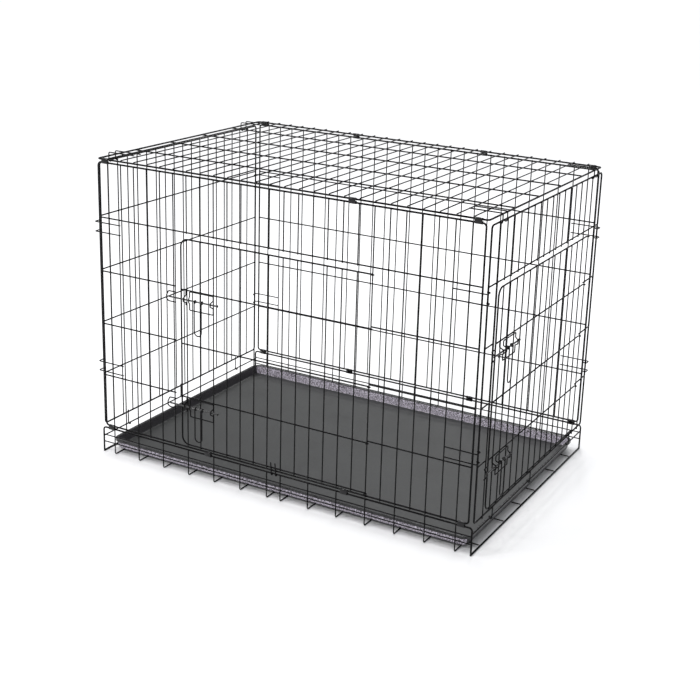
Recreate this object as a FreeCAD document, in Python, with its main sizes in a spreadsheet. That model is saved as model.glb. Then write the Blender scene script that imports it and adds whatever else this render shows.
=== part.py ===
import FreeCAD, Part
import math
import os
import Sketcher
from FreeCAD import Placement, Rotation, Vector

# Folding wire dog crate, millimetres. X runs along the crate, Y across it, Z up.
# The origin is on the floor, under the middle of the base. The front long side
# faces -Y and the end with a door faces +X. The base, the front, the top and the
# back are joined edge to edge as a four-sided sleeve. Opposite sides are equal from
# hinge to hinge, so the sleeve leans over and lies flat. The two end panels stand
# inside hooks and fold down into the base first.

doc = FreeCAD.newDocument("wire_dog_crate")
sheet = doc.addObject("Spreadsheet::Sheet", "Sizes")

SIZES = [
    ("crate_length", 1066, "end hinge wire to end hinge wire, centre to centre"),
    ("crate_width", 708, "front hinge wire to back hinge wire, centre to centre"),
    ("sleeve_rise", 716, "bottom hinge wire to top hinge wire of the sleeve"),
    ("base_height", 69, "floor to the hinge wires on the base"),
    ("bar_gaps", 27, "spaces between bars along the crate"),
    ("end_gaps", 18, "spaces between bars across an end panel"),
    ("sleeve_half_length", 523, "middle to the side wire of the front and back panels"),
    ("top_half_length", 528, "middle to the side wire of the top panel"),
    ("end_half_width", 347, "middle to the side wire of an end panel"),
    ("first_rail", 77, "floor to the lowest rail of every side panel"),
    ("rail_step", 140, "from one rail to the next"),
    ("hinge_offset", 8, "panel's edge wire to the hinge wire beside it"),
    ("end_top_rail", 773, "floor to the top rail of the end panels"),
    ("left_hinge_height", 44, "floor to the left end's hinge wire"),
    ("right_hinge_height", 53, "floor to the right end's hinge wire"),
    ("frame_radius", 2.25, "edge wires, half their diameter"),
    ("rail_radius", 1.8, "rails, half their diameter"),
    ("bar_radius", 1.5, "bars and small bent wires, half their diameter"),
    ("door_radius", 2.0, "door edge wire, half its diameter"),
    ("corner_bend", 8, "bend at a panel's corner, to the wire's centre"),
    ("door_bend", 20, "bend at a door's corner, to the wire's centre"),
    ("weld_bite", 0.1, "how far crossing wires sink into each other at a weld"),
    ("play", 0.35, "gap between a wire and a loop that turns on it"),
    ("bar_overrun", 2, "bar's end past the middle of a panel's edge wire"),
    ("door_bar_overrun", 1.8, "door bar's end past the middle of the door's edge wire"),
    ("eye_radius", 1.25, "wire of the eyes on doors and handles, half its diameter"),
    ("eye_stand_off", 4.15, "door rail's end from the middle of the hinge bar"),
    ("front_door_bar", 6.5, "front door's free edge, in bar spaces from the left"),
    ("front_hinge_bar", 20, "front door's hinge bar"),
    ("right_door_bar", 1.54, "right door's free edge, in end bar spaces from the front"),
    ("right_hinge_bar", 16, "right door's hinge bar"),
    ("door_bottom", 84, "floor to a door's lower edge wire"),
    ("door_top", 620, "floor to a door's upper edge wire"),
    ("door_rail_drop", 5, "door rail below the panel rail beside it"),
    ("tray_length", 1040, "tray, outside"),
    ("tray_width", 680, "tray, outside"),
    ("tray_bottom", 6.3, "floor to the underside of the tray"),
    ("tray_top", 34, "floor to the tray's rim"),
    ("tray_wall", 3, "tray wall and floor thickness"),
    ("tray_corner", 25, "tray corner radius, outside"),
    ("tray_lip", 8, "width of the tray's flat rim"),
    ("clip_width", 18, "hinge clip, along the wires"),
    ("clip_thickness", 1.0, "hinge clip sheet"),
    ("clip_play", 0.45, "gap between a hinge clip and the wire that turns in it"),
    ("rod_radius", 2.0, "bolt rod, half its diameter"),
    ("rod_length", 146, "bolt rod"),
    ("rod_stand_off", 10.4, "bolt rod outside its panel's plane"),
    ("rod_drop", 21, "bolt rod below the door rail it hangs under"),
    ("rod_overhang", 30, "bolt rod's tip past the door's free edge"),
    ("latch_start", 30, "latch frame's near side from the door's free edge"),
    ("latch_width", 70, "latch frame, along the rod"),
    ("latch_drop", 47, "latch frame's lower bar below the door rail"),
    ("handle_middle", 59.5, "bolt handle's middle from the door's free edge"),
    ("handle_width", 21, "bolt handle, leg to leg"),
    ("handle_length", 86, "bolt handle, rod to the bottom of its loop"),
]
for row, (alias, value, note) in enumerate(SIZES, start=1):
    sheet.set(f"A{row}", alias)
    sheet.set(f"B{row}", str(value))
    sheet.setAlias(f"B{row}", alias)
    sheet.set(f"C{row}", note)
doc.recompute()


def size(alias):
    """A driving dimension as a number, for shapes that are worked out here."""
    return float(sheet.get(alias))


# Expressions that several pieces share.
BAR_PITCH = "Sizes.crate_length / Sizes.bar_gaps"
END_PITCH = "2 * Sizes.end_half_width / Sizes.end_gaps"
TOP_HEIGHT = "(Sizes.base_height + Sizes.sleeve_rise)"
SLEEVE_TOP_RAIL = f"({TOP_HEIGHT} - Sizes.hinge_offset)"
BAR_OUT = "(Sizes.frame_radius + Sizes.bar_radius - Sizes.weld_bite)"
RAIL_OUT = f"({BAR_OUT} - Sizes.bar_radius - Sizes.rail_radius + Sizes.weld_bite)"
DOOR_OUT = f"({BAR_OUT} - Sizes.bar_radius - Sizes.door_radius + Sizes.weld_bite)"
LATCH_OUT = f"({BAR_OUT} + 2 * Sizes.bar_radius - Sizes.weld_bite)"

AXES = {"x": Vector(1, 0, 0), "y": Vector(0, 1, 0), "z": Vector(0, 0, 1)}


def number(expression):
    """Value of an expression of the sheet, as a number."""
    return float(sheet.evalExpression(str(expression)))


def rail_height(index):
    """Height of a side panel's rail: 0 is the bottom rail."""
    return f"(Sizes.first_rail + {index} * Sizes.rail_step)"


def bar_place(index):
    """Place of a bar along the crate, counted from the left end."""
    return f"({index} * {BAR_PITCH} - Sizes.crate_length / 2)"


def end_bar_place(index):
    """Place of a bar across an end panel, counted from the front."""
    return f"({index} * {END_PITCH} - Sizes.end_half_width)"


class Panel:
    """A flat grid: rails run along one axis, bars along another, and the bars lie
    on its outer face. A place in it is run, rise and the distance out of its plane."""

    def __init__(self, run, rise, out, sign, plane):
        self.run = run
        self.rise = rise
        self.out = out
        self.sign = sign
        self.plane = plane
        self.turn = Rotation(AXES[run], AXES[rise], AXES[run].cross(AXES[rise]), "XYZ")

    def place(self, run, rise, out=0):
        """Expressions for x, y and z of a place in the panel."""
        depth = f"{self.sign} * ({self.plane} + {out})"
        return {self.run: str(run), self.rise: str(rise), self.out: depth}

    def point(self, run, rise, out=0):
        """The same place as a Vector."""
        spots = self.place(run, rise, out)
        return Vector(number(spots["x"]), number(spots["y"]), number(spots["z"]))


FRONT = Panel("x", "z", "y", -1, "Sizes.crate_width / 2")
BACK = Panel("x", "z", "y", 1, "Sizes.crate_width / 2")
LEFT = Panel("y", "z", "x", -1, "Sizes.crate_length / 2")
RIGHT = Panel("y", "z", "x", 1, "Sizes.crate_length / 2")
TOP = Panel("x", "y", "z", 1, TOP_HEIGHT)
FLOOR = Panel("x", "y", "z", 1, "0")

parts = {}


def bind(obj, prop, expression):
    obj.setExpression(prop, str(expression))


def bind_place(obj, spots):
    for axis in "xyz":
        bind(obj, f"Placement.Base.{axis}", spots[axis])


def straight_wire(axis, spots, length, radius):
    """A straight wire along one axis, from the place given by spots."""
    wire = doc.addObject("Part::Cylinder", "wire")
    wire.Placement = Placement(Vector(), Rotation(Vector(0, 0, 1), AXES[axis]))
    bind_place(wire, spots)
    bind(wire, "Radius", radius)
    bind(wire, "Height", length)
    return wire


def bar(panel, run, low, high, out=BAR_OUT, radius="Sizes.bar_radius"):
    """A wire along the panel's rise."""
    return straight_wire(panel.rise, panel.place(run, low, out), f"({high}) - ({low})", radius)


def rail(panel, rise, start, end, out=RAIL_OUT, radius="Sizes.rail_radius"):
    """A wire along the panel's run."""
    return straight_wire(panel.run, panel.place(start, rise, out), f"({end}) - ({start})", radius)


def corner(panel, run, rise, quarter, bend, radius, out):
    """A quarter bend about a place in the panel. Quarter 0 faces along run and rise."""
    piece = doc.addObject("Part::Torus", "bend")
    piece.Placement = Placement(Vector(), panel.turn * Rotation(Vector(0, 0, 1), 90 * quarter))
    bind_place(piece, panel.place(run, rise, out))
    bind(piece, "Radius1", bend)
    bind(piece, "Radius2", radius)
    piece.Angle3 = 90
    return piece


def frame_pieces(panel, start, end, low, high, bend, radius, out, open_end=False):
    """The straights and bends of a wire rectangle. With open_end, its side at end
    is missing, and the upper and lower wires stop there."""
    left, right = f"({start}) + {bend}", f"({end}) - {bend}"
    down, up = f"({low}) + {bend}", f"({high}) - {bend}"
    stop = end if open_end else right
    pieces = [
        rail(panel, low, left, stop, out, radius),
        rail(panel, high, left, stop, out, radius),
        bar(panel, start, down, up, out, radius),
        corner(panel, left, up, 1, bend, radius, out),
        corner(panel, left, down, 2, bend, radius, out),
    ]
    if not open_end:
        pieces.append(bar(panel, end, down, up, out, radius))
        pieces.append(corner(panel, right, up, 0, bend, radius, out))
        pieces.append(corner(panel, right, down, 3, bend, radius, out))
    return pieces


def keep(node, pieces):
    """Several separate pieces that share one node."""
    group = doc.addObject("Part::Compound", node)
    group.Label = node
    group.Links = pieces
    parts[node] = group


def keep_joined(node, pieces):
    """Pieces of one bent wire, joined into one solid."""
    joined = doc.addObject("Part::MultiFuse", node)
    joined.Label = node
    joined.Shapes = pieces
    parts[node] = joined


def keep_shape(node, shape):
    """A sub-part whose shape is worked out here."""
    feature = doc.addObject("Part::Feature", node)
    feature.Label = node
    feature.Shape = shape
    parts[node] = feature


def bent_wire(points, bend, radius, curl=None):
    """Wire through points, each corner rounded with the same bend. curl, when
    given, is the centre and angle of an arc that the last run ends in."""
    edges = []
    here = points[0]
    for index in range(1, len(points) - 1):
        before = (points[index] - points[index - 1]).normalize()
        after = (points[index + 1] - points[index]).normalize()
        turn = before.getAngle(after)
        cut = bend * math.tan(turn / 2)
        first = points[index] - before * cut
        last = points[index] + after * cut
        inward = (after - before).normalize()
        centre = points[index] + inward * (bend / math.cos(turn / 2))
        middle = centre - inward * bend
        edges.append(Part.LineSegment(here, first).toShape())
        edges.append(Part.Arc(first, middle, last).toShape())
        here = last
    edges.append(Part.LineSegment(here, points[-1]).toShape())
    if curl:
        centre, degrees = curl
        spoke = points[-1] - centre
        axis = spoke.cross(points[-1] - points[-2]).normalize()
        halfway = centre + Rotation(axis, degrees / 2).multVec(spoke)
        tip = centre + Rotation(axis, degrees).multVec(spoke)
        edges.append(Part.Arc(points[-1], halfway, tip).toShape())
    path = Part.Wire(edges)
    direction = (points[1] - points[0]).normalize()
    section = Part.Wire(Part.Circle(points[0], direction, radius).toShape())
    solid = path.makePipeShell([section], True, False)
    expected = math.pi * radius ** 2 * path.Length
    if abs(solid.Volume - expected) > 0.01 * expected:
        raise ValueError("a bent wire's volume doesn't match its length")
    return solid


# ---- base ---------------------------------------------------------------------

HALF_LENGTH = "Sizes.crate_length / 2"
HALF_WIDTH = "Sizes.crate_width / 2"
RUNNER_BARS = [1, 3, 5, 7, 9, 11, 13, 14, 16, 18, 20, 22, 24, 26]
FOOT_BEND = 5
UPSTAND_WIRES = [29, 48]
FLOOR_WIRES = [-304, -163, -58, 35, 170, 280]


def rim(side):
    """Upper wire of the base's front or back edge, bent down to the floor at both
    ends."""
    drop = "Sizes.base_height - Sizes.corner_bend"
    inner = f"{HALF_LENGTH} - Sizes.corner_bend"
    return [
        rail(side, "Sizes.base_height", f"-({inner})", inner, 0, "Sizes.frame_radius"),
        corner(side, f"-({inner})", drop, 1, "Sizes.corner_bend", "Sizes.frame_radius", 0),
        corner(side, inner, drop, 0, "Sizes.corner_bend", "Sizes.frame_radius", 0),
        bar(side, f"-{HALF_LENGTH}", "0", drop, 0, "Sizes.frame_radius"),
        bar(side, HALF_LENGTH, "0", drop, 0, "Sizes.frame_radius"),
    ]


def foot(side, index):
    """Upright on the base's edge, bent under at the floor."""
    lying = "Sizes.bar_radius"
    foot_top = "Sizes.base_height + Sizes.bar_overrun"
    upright = bar(side, bar_place(index), f"{lying} + {FOOT_BEND}", foot_top)
    across = Panel("y", "z", "x", 1, bar_place(index))
    reach = f"{side.sign} * ({HALF_WIDTH} + {BAR_OUT} - {FOOT_BEND})"
    quarter = 3 if side.sign > 0 else 2
    bend = corner(across, reach, f"{lying} + {FOOT_BEND}", quarter, FOOT_BEND, lying, 0)
    joined = doc.addObject("Part::MultiFuse", "foot")
    joined.Shapes = [upright, bend]
    return joined


def runner(index):
    """Stretch of a base cross wire that lies on the floor."""
    reach = f"({HALF_WIDTH} + {BAR_OUT} - {FOOT_BEND})"
    return bar(FLOOR, bar_place(index), f"-{reach}", reach, "Sizes.bar_radius")


inside_rims = f"({HALF_WIDTH} - Sizes.frame_radius + Sizes.weld_bite)"
inside_ends = f"({HALF_LENGTH} - Sizes.frame_radius + Sizes.weld_bite)"
keep_joined("base_front_rim", rim(FRONT))
keep_joined("base_back_rim", rim(BACK))
keep("base_end_runners", [
    bar(FLOOR, f"{end} * {HALF_LENGTH}", f"-{inside_rims}", inside_rims,
        "Sizes.frame_radius", "Sizes.frame_radius")
    for end in (-1, 1)
])
keep("base_hinge_wires", [
    bar(FLOOR, f"{end} * {HALF_LENGTH}", f"-{inside_rims}", inside_rims, height, "Sizes.rail_radius")
    for end, height in ((-1, "Sizes.left_hinge_height"), (1, "Sizes.right_hinge_height"))
])
keep("base_runners", [runner(index) for index in RUNNER_BARS])
keep("base_front_feet", [foot(FRONT, index) for index in RUNNER_BARS])
keep("base_back_feet", [foot(BACK, index) for index in RUNNER_BARS])
keep("base_side_wires", [
    rail(side, height, f"-{inside_ends}", inside_ends,
         f"({BAR_OUT} - 2 * Sizes.bar_radius + Sizes.weld_bite)", "Sizes.bar_radius")
    for side in (FRONT, BACK) for height in UPSTAND_WIRES
])
keep("base_floor_wires", [
    rail(FLOOR, across, f"-{inside_ends}", inside_ends,
         "(3 * Sizes.bar_radius - Sizes.weld_bite)", "Sizes.bar_radius")
    for across in FLOOR_WIRES
])


# ---- tray ---------------------------------------------------------------------

def origin_plane(body, role):
    """One of the body's own origin planes."""
    return next(item for item in body.Origin.OriginFeatures if item.Role == role)


def rounded_sketch(body, name, half_x, half_y, radius, height):
    """Rectangle with rounded corners about the body's origin, lying at a height."""
    sketch = body.newObject("Sketcher::SketchObject", name)
    sketch.AttachmentSupport = [(origin_plane(body, "XY_Plane"), "")]
    sketch.MapMode = "FlatFace"
    sketch.setExpression("AttachmentOffset.Base.z", height)
    reach_x, reach_y, bend = number(half_x), number(half_y), number(radius)
    centres = [(1, 1), (-1, 1), (-1, -1), (1, -1)]
    for quarter, (side_x, side_y) in enumerate(centres):
        centre = Vector(side_x * (reach_x - bend), side_y * (reach_y - bend), 0)
        circle = Part.Circle(centre, Vector(0, 0, 1), bend)
        start = quarter * math.pi / 2
        sketch.addGeometry(Part.ArcOfCircle(circle, start, start + math.pi / 2), False)
    for quarter in range(4):
        first = sketch.Geometry[quarter].EndPoint
        last = sketch.Geometry[(quarter + 1) % 4].StartPoint
        sketch.addGeometry(Part.LineSegment(first, last), False)
    for quarter in range(4):
        line = 4 + quarter
        following = (quarter + 1) % 4
        sketch.addConstraint(Sketcher.Constraint("Tangent", quarter, 2, line, 1))
        sketch.addConstraint(Sketcher.Constraint("Tangent", line, 2, following, 1))
        level = "Horizontal" if quarter % 2 == 0 else "Vertical"
        sketch.addConstraint(Sketcher.Constraint(level, line))
    for quarter in range(1, 4):
        sketch.addConstraint(Sketcher.Constraint("Equal", 0, quarter))
    bend_rule = sketch.addConstraint(Sketcher.Constraint("Radius", 0, bend))
    sketch.setExpression(f"Constraints[{bend_rule}]", radius)
    sketch.addConstraint(Sketcher.Constraint("Symmetric", 0, 3, 2, 3, -1, 1))
    width_rule = sketch.addConstraint(Sketcher.Constraint("DistanceX", 1, 3, 0, 3, 2 * (reach_x - bend)))
    sketch.setExpression(f"Constraints[{width_rule}]", f"2 * ({half_x} - ({radius}))")
    depth_rule = sketch.addConstraint(Sketcher.Constraint("DistanceY", 3, 3, 0, 3, 2 * (reach_y - bend)))
    sketch.setExpression(f"Constraints[{depth_rule}]", f"2 * ({half_y} - ({radius}))")
    return sketch


def extrude(body, kind, name, sketch, length, backwards=False):
    feature = body.newObject(kind, name)
    feature.Profile = sketch
    feature.setExpression("Length", length)
    feature.Reversed = backwards
    doc.recompute()
    return feature


tray = doc.addObject("PartDesign::Body", "tray")
tray.Label = "tray"
half_tray_x, half_tray_y = "Sizes.tray_length / 2", "Sizes.tray_width / 2"
tray_depth = "(Sizes.tray_top - Sizes.tray_bottom)"
body_inset = "(Sizes.tray_lip - Sizes.tray_wall)"
pan_sketch = rounded_sketch(
    tray, "pan_outline", f"({half_tray_x} - {body_inset})", f"({half_tray_y} - {body_inset})",
    f"(Sizes.tray_corner - {body_inset})", "Sizes.tray_bottom")
extrude(tray, "PartDesign::Pad", "pan", pan_sketch, tray_depth)
rim_sketch = rounded_sketch(
    tray, "rim_outline", half_tray_x, half_tray_y, "Sizes.tray_corner", "Sizes.tray_top")
extrude(tray, "PartDesign::Pad", "rim", rim_sketch, "Sizes.tray_wall", True)
hollow_sketch = rounded_sketch(
    tray, "hollow_outline", f"({half_tray_x} - Sizes.tray_lip)", f"({half_tray_y} - Sizes.tray_lip)",
    "(Sizes.tray_corner - Sizes.tray_lip)", "Sizes.tray_top")
before_hollow = tray.Shape.Volume
extrude(tray, "PartDesign::Pocket", "hollow", hollow_sketch, f"{tray_depth} - Sizes.tray_wall")
if tray.Shape.Volume > 0.5 * before_hollow:
    raise ValueError("the tray's hollow isn't cut")
parts["tray"] = tray


# ---- panels -------------------------------------------------------------------

def panel_frame(node, panel, reach, low, high):
    pieces = frame_pieces(
        panel, f"-({reach})", reach, low, high, "Sizes.corner_bend", "Sizes.frame_radius", 0)
    keep_joined(node, pieces)


def reach_inside(reach):
    """Rails end inside the panel's side wires."""
    return f"({reach} - Sizes.frame_radius + Sizes.weld_bite)"


def full_bars(panel, places, low, high):
    """Bars whose ends stand flush with the outsides of the panel's edge wires."""
    return [
        bar(panel, place, f"{low} - Sizes.bar_overrun", f"{high} + Sizes.bar_overrun")
        for place in places
    ]


# Front and back panels. The front's rails and bars leave the doorway open.
sleeve_reach = "Sizes.sleeve_half_length"
rail_end = reach_inside(sleeve_reach)
jamb = bar_place("floor(Sizes.front_door_bar)")
hinge_post = bar_place("Sizes.front_hinge_bar")
inner_bars = range(1, int(size("bar_gaps")))
doorway_bars = range(int(size("front_door_bar")) + 1, int(size("front_hinge_bar")))
for name, panel in (("front", FRONT), ("back", BACK)):
    panel_frame(f"{name}_frame", panel, sleeve_reach, "Sizes.first_rail", SLEEVE_TOP_RAIL)

front_bars = full_bars(
    FRONT, [bar_place(index) for index in inner_bars if index not in doorway_bars],
    "Sizes.first_rail", SLEEVE_TOP_RAIL)
front_bars += full_bars(
    FRONT, [bar_place(index) for index in doorway_bars], rail_height(4), SLEEVE_TOP_RAIL)
keep("front_bars", front_bars)
front_rails = [rail(FRONT, rail_height(4), f"-{rail_end}", rail_end)]
for index in (1, 2, 3):
    level = rail_height(index)
    front_rails.append(rail(FRONT, level, f"-{rail_end}", f"{jamb} + Sizes.bar_radius"))
    front_rails.append(rail(FRONT, level, f"{hinge_post} - Sizes.bar_radius", rail_end))
keep("front_rails", front_rails)
keep("back_bars", full_bars(
    BACK, [bar_place(index) for index in inner_bars], "Sizes.first_rail", SLEEVE_TOP_RAIL))
keep("back_rails", [rail(BACK, rail_height(index), f"-{rail_end}", rail_end) for index in (1, 2, 3, 4)])

# Top panel: its bars run across the crate and its rails along it.
TOP_RAIL_GAPS = 5
top_reach = "Sizes.top_half_length"
keep_joined("top_frame", frame_pieces(
    TOP, f"-{top_reach}", top_reach, f"-{HALF_WIDTH}", HALF_WIDTH,
    "Sizes.corner_bend", "Sizes.frame_radius", 0))
keep("top_bars", full_bars(
    TOP, [bar_place(index) for index in inner_bars], f"-{HALF_WIDTH}", HALF_WIDTH))
keep("top_rails", [
    rail(TOP, f"({index} / {TOP_RAIL_GAPS} - 0.5) * Sizes.crate_width",
         f"-{reach_inside(top_reach)}", reach_inside(top_reach))
    for index in range(1, TOP_RAIL_GAPS)
])

# End panels. The right one leaves its doorway open.
end_reach = "Sizes.end_half_width"
end_rail_end = reach_inside(end_reach)
end_bars = range(1, int(size("end_gaps")))
right_jamb = end_bar_place("floor(Sizes.right_door_bar)")
right_hinge_post = end_bar_place("Sizes.right_hinge_bar")
right_doorway = range(int(size("right_door_bar")) + 1, int(size("right_hinge_bar")))
for name, panel in (("left_end", LEFT), ("right_end", RIGHT)):
    panel_frame(f"{name}_frame", panel, end_reach, "Sizes.first_rail", "Sizes.end_top_rail")

keep("left_end_bars", full_bars(
    LEFT, [end_bar_place(index) for index in end_bars], "Sizes.first_rail", "Sizes.end_top_rail"))
keep("left_end_rails", [
    rail(LEFT, rail_height(index), f"-{end_rail_end}", end_rail_end) for index in (1, 2, 3, 4)])
right_bars = full_bars(
    RIGHT, [end_bar_place(index) for index in end_bars if index not in right_doorway],
    "Sizes.first_rail", "Sizes.end_top_rail")
right_bars += full_bars(
    RIGHT, [end_bar_place(index) for index in right_doorway], rail_height(4), "Sizes.end_top_rail")
keep("right_end_bars", right_bars)
right_rails = [rail(RIGHT, rail_height(4), f"-{end_rail_end}", end_rail_end)]
for index in (1, 2, 3):
    level = rail_height(index)
    right_rails.append(rail(RIGHT, level, f"-{end_rail_end}", f"{right_jamb} + Sizes.bar_radius"))
    right_rails.append(rail(RIGHT, level, f"{right_hinge_post} - Sizes.bar_radius", end_rail_end))
keep("right_end_rails", right_rails)


# ---- hinge clips ----------------------------------------------------------------

# How far the strap presses into the wire that it grips.
CLIP_BITE = 0.002
# Middles along the crate. Small numbers count bar spaces, and the rest are places.
CLIP_PLACES = {
    "front_bottom_clips": [-505, 8.5, 18.5, 505],
    "front_top_clips": [-505, 18.5, 505],
    "back_bottom_clips": [-505, 8.5, 18.5, 505],
    "back_top_clips": [-505, 8.5, 18.5, 505],
}


def clip_outline(axis_y, axis_z, tight, place):
    """Strap around two wires, as a sketch across them. Its one end turns on the
    hinge wire, and the other grips the panel's edge wire."""
    sketch = doc.addObject("Sketcher::SketchObject", "clip_outline")
    turn = Rotation(AXES["y"], AXES["z"], AXES["x"], "XYZ")
    sketch.Placement = Placement(Vector(), turn)
    bind_place(sketch, {"x": f"{place} - Sizes.clip_width / 2", "y": axis_y, "z": axis_z})
    grip = f"(Sizes.hinge_offset - Sizes.clip_play - {CLIP_BITE})"
    for radius in (
        "(Sizes.frame_radius + Sizes.clip_play)",
        "(Sizes.frame_radius + Sizes.clip_play + Sizes.clip_thickness)",
    ):
        first = len(sketch.Geometry)
        reach, length = number(radius), number(grip)
        low, high = sorted((0, tight * length))
        lower = Part.Circle(Vector(0, low, 0), Vector(0, 0, 1), reach)
        upper = Part.Circle(Vector(0, high, 0), Vector(0, 0, 1), reach)
        sketch.addGeometry(Part.ArcOfCircle(upper, 0, math.pi), False)
        sketch.addGeometry(Part.ArcOfCircle(lower, math.pi, 2 * math.pi), False)
        sketch.addGeometry(Part.LineSegment(Vector(-reach, high, 0), Vector(-reach, low, 0)), False)
        sketch.addGeometry(Part.LineSegment(Vector(reach, low, 0), Vector(reach, high, 0)), False)
        rules = [
            Sketcher.Constraint("Tangent", first, 2, first + 2, 1),
            Sketcher.Constraint("Tangent", first + 2, 2, first + 1, 1),
            Sketcher.Constraint("Tangent", first + 1, 2, first + 3, 1),
            Sketcher.Constraint("Tangent", first + 3, 2, first, 1),
            Sketcher.Constraint("Vertical", first + 2),
            Sketcher.Constraint("Coincident", first + (1 if tight > 0 else 0), 3, -1, 1),
        ]
        for rule in rules:
            sketch.addConstraint(rule)
        bend_rule = sketch.addConstraint(Sketcher.Constraint("Radius", first, reach))
        sketch.setExpression(f"Constraints[{bend_rule}]", radius)
        length_rule = sketch.addConstraint(
            Sketcher.Constraint("DistanceY", first + 1, 3, first, 3, length))
        sketch.setExpression(f"Constraints[{length_rule}]", grip)
    return sketch


def hinge_clip(axis_y, axis_z, tight, place):
    strap = doc.addObject("Part::Extrusion", "clip")
    strap.Base = clip_outline(axis_y, axis_z, tight, place)
    strap.DirMode = "Custom"
    strap.Dir = AXES["x"]
    strap.Solid = True
    bind(strap, "LengthFwd", "Sizes.clip_width")
    return strap


BAR_GAPS = size("bar_gaps")
for node, places in CLIP_PLACES.items():
    side = -1 if node.startswith("front") else 1
    at_top = "top" in node
    height = TOP_HEIGHT if at_top else "Sizes.base_height"
    tight = -1 if at_top else 1
    keep(node, [
        hinge_clip(f"{side} * {HALF_WIDTH}", height, tight,
                   bar_place(place) if 0 < place < BAR_GAPS else str(place))
        for place in places
    ])


# ---- hooks that hold the end panels and the front -------------------------------

HOOK_REACH = 80
HOOK_BEND = 4
HOOK_CURL = 150
HOOK_HEIGHTS = (229, 254, 600, 625)
TOP_HOOK_BARS = (1.5, 16.5)
TOP_HOOK_HALF_GAP = 12.5
HINGE_HOOK_BARS = (2.5, 8.5, 15.5)
HINGE_HOOK_START = 3
HINGE_HOOK_CURL = 215
CLOSING_HOOK_BAR = 13.5
CLOSING_HOOK_HALF_GAP = 6.25
CLOSING_TAB_RISE = 23
CLOSING_TAB_FLARE = 3
CLOSING_KNEE_RISE = 1
CLOSING_KNEE_BEND = 20
CLOSING_CURL = 120
HOOK_WELD_BITE = 0.05
CURL = size("frame_radius") + size("play") + size("bar_radius")
bar_radius = size("bar_radius")


def corner_hook(panel, end, height):
    """Prong along the panel's outer face, turned in round the end panel's side wire."""
    edge = size("end_half_width") - size("crate_width") / 2
    line = number(LATCH_OUT)
    outside = size("crate_length") / 2 + CURL
    points = [
        panel.point(end * (outside - HOOK_REACH), height, line),
        panel.point(end * outside, height, line),
        panel.point(end * outside, height, edge),
    ]
    centre = panel.point(end * (outside - CURL), height, edge)
    return bent_wire(points, HOOK_BEND, bar_radius, (centre, HOOK_CURL))


def top_hook(end, across):
    """Prong on the top panel, turned down over the end panel's top rail."""
    line = number(LATCH_OUT)
    outside = size("crate_length") / 2 + CURL
    drop = size("end_top_rail") - number(TOP_HEIGHT)
    points = [
        TOP.point(end * (outside - HOOK_REACH), across, line),
        TOP.point(end * outside, across, line),
        TOP.point(end * outside, across, drop),
    ]
    centre = TOP.point(end * (outside - CURL), across, drop)
    return bent_wire(points, HOOK_BEND, bar_radius, (centre, HOOK_CURL))


def end_hinge_hook(panel, across, axis_height):
    """Tail of wire from an end panel's bottom rail, curled under the hinge wire."""
    curl = size("rail_radius") + size("play") + bar_radius
    points = [
        panel.point(across, size("first_rail") + HINGE_HOOK_START, curl),
        panel.point(across, axis_height, curl),
    ]
    centre = panel.point(across, axis_height)
    return bent_wire(points, HOOK_BEND, bar_radius, (centre, HINGE_HOOK_CURL))


def closing_hook(place):
    """Prong down the outside of the front's bottom rail, hooked under the base rim.
    Above the rail it flares out as a finger tab."""
    on_rail = size("frame_radius") + bar_radius - HOOK_WELD_BITE
    tab = FRONT.point(place, size("first_rail") + CLOSING_TAB_RISE, CURL + CLOSING_TAB_FLARE)
    knee = FRONT.point(place, size("first_rail") + CLOSING_KNEE_RISE, on_rail)
    start = FRONT.point(place, size("base_height"), CURL)
    centre = FRONT.point(place, size("base_height"))
    return bent_wire([tab, knee, start], CLOSING_KNEE_BEND, bar_radius, (centre, CLOSING_CURL))


for name, panel in (("front", FRONT), ("back", BACK)):
    hooks = [corner_hook(panel, end, height) for end in (-1, 1) for height in HOOK_HEIGHTS]
    keep_shape(f"{name}_corner_hooks", Part.makeCompound(hooks))
hook_middles = [number(end_bar_place(index)) for index in TOP_HOOK_BARS]
keep_shape("top_end_hooks", Part.makeCompound([
    top_hook(end, middle + side * TOP_HOOK_HALF_GAP)
    for end in (-1, 1) for middle in hook_middles for side in (-1, 1)
]))
for name, panel, height in (
    ("left_end", LEFT, size("left_hinge_height")),
    ("right_end", RIGHT, size("right_hinge_height")),
):
    keep_shape(f"{name}_hinge_hooks", Part.makeCompound([
        end_hinge_hook(panel, number(end_bar_place(index)), height) for index in HINGE_HOOK_BARS
    ]))
hook_place = number(bar_place(CLOSING_HOOK_BAR))
keep_shape("front_closing_hook", Part.makeCompound([
    closing_hook(hook_place + side * CLOSING_HOOK_HALF_GAP) for side in (-1, 1)
]))


# ---- doors ----------------------------------------------------------------------

DOORS = {
    "front": (FRONT, bar_place("Sizes.front_door_bar"), hinge_post, jamb,
              [bar_place(index) for index in doorway_bars]),
    "right": (RIGHT, end_bar_place("Sizes.right_door_bar"), right_hinge_post, right_jamb,
              [end_bar_place(index) for index in right_doorway]),
}
EYE_BEND = "(Sizes.bar_radius + Sizes.play + Sizes.eye_radius)"
# Bends of the latch wires, and the bulges that pass outside the rod.
LATCH_BEND = 2.2
BOW_HALF = 4.5
BOW_FOOT = 9.5
NOTCH = 3
ROD_GAP = 0.4
STAPLE_BITE = 0.03
STAPLE_ABOVE = 20
STAPLE_BELOW = 16
KEEPER_HALF = 13
KEEPER_FAR = 14
KEEPER_NEAR = 6
COLLAR_RADIUS = 3
COLLAR_LENGTH = 2
STOP_RADIUS = 3.2
STOP_LENGTH = 3
bow_out = size("rod_stand_off") + size("rod_radius") + ROD_GAP + bar_radius
eye_radius = size("eye_radius")


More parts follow.
